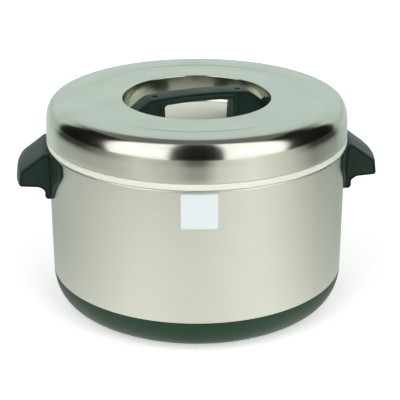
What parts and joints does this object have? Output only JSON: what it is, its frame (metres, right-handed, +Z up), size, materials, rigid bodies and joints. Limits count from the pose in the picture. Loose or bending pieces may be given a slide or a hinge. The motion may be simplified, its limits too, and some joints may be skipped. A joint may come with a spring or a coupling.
{
  "type": "insulated rice warmer",
  "caption": "Round double-walled steel container with a sunk lid grip, side handles and rubber feet, for keeping cooked rice warm.",
  "frame": {"origin": "middle of the footprint, on the surface that the feet stand on", "axes": "+Z up along the body's axis, +X through the right-hand side handle, -Y towards the front label"},
  "size_m": [0.4874, 0.402, 0.2854],
  "materials": {
    "polished_steel": "polished",
    "satin_steel": "satin",
    "plated_steel": "zinc plated",
    "black_plastic": "fine satin texture",
    "base_plastic": "satin",
    "ivory_plastic": "semi-gloss",
    "foot_rubber": "matt",
    "silicone": "matt",
    "foam": "matt foam",
    "label_film": "satin film"
  },
  "bodies": {
    "body": {"base_cup": "base_plastic", "body_insulation": "foam", "fill_plug": "base_plastic", "foot_pad_1": "foot_rubber", "foot_pad_2": "foot_rubber", "foot_pad_3": "foot_rubber", "foot_pad_4": "foot_rubber", "foot_screw_1": "plated_steel", "foot_screw_2": "plated_steel", "foot_screw_3": "plated_steel", "foot_screw_4": "plated_steel", "front_label": "label_film", "inner_pot": "satin_steel", "left_handle": "black_plastic", "left_handle_nut_1": "plated_steel", "left_handle_nut_2": "plated_steel", "left_handle_plate": "plated_steel", "left_handle_screw_1": "plated_steel", "left_handle_screw_2": "plated_steel", "outer_shell": "satin_steel", "right_handle": "black_plastic", "right_handle_nut_1": "plated_steel", "right_handle_nut_2": "plated_steel", "right_handle_plate": "plated_steel", "right_handle_screw_1": "plated_steel", "right_handle_screw_2": "plated_steel", "rim_ring": "ivory_plastic", "rim_seal": "silicone"},
    "lid": {"lid_cover": "polished_steel", "lid_gasket": "silicone", "lid_grip": "black_plastic", "lid_grip_nut_1": "plated_steel", "lid_grip_nut_2": "plated_steel", "lid_grip_plate": "plated_steel", "lid_grip_screw_1": "plated_steel", "lid_grip_screw_2": "plated_steel", "lid_grip_washer_1": "plated_steel", "lid_grip_washer_2": "plated_steel", "lid_insulation": "foam", "lid_liner": "satin_steel"}
  },
  "joints": [
    {"name": "lid_lift", "type": "slide", "parent": "body", "child": "lid", "axis": [0, 0, 1], "range_m": [0, 0.15]}
  ]
}
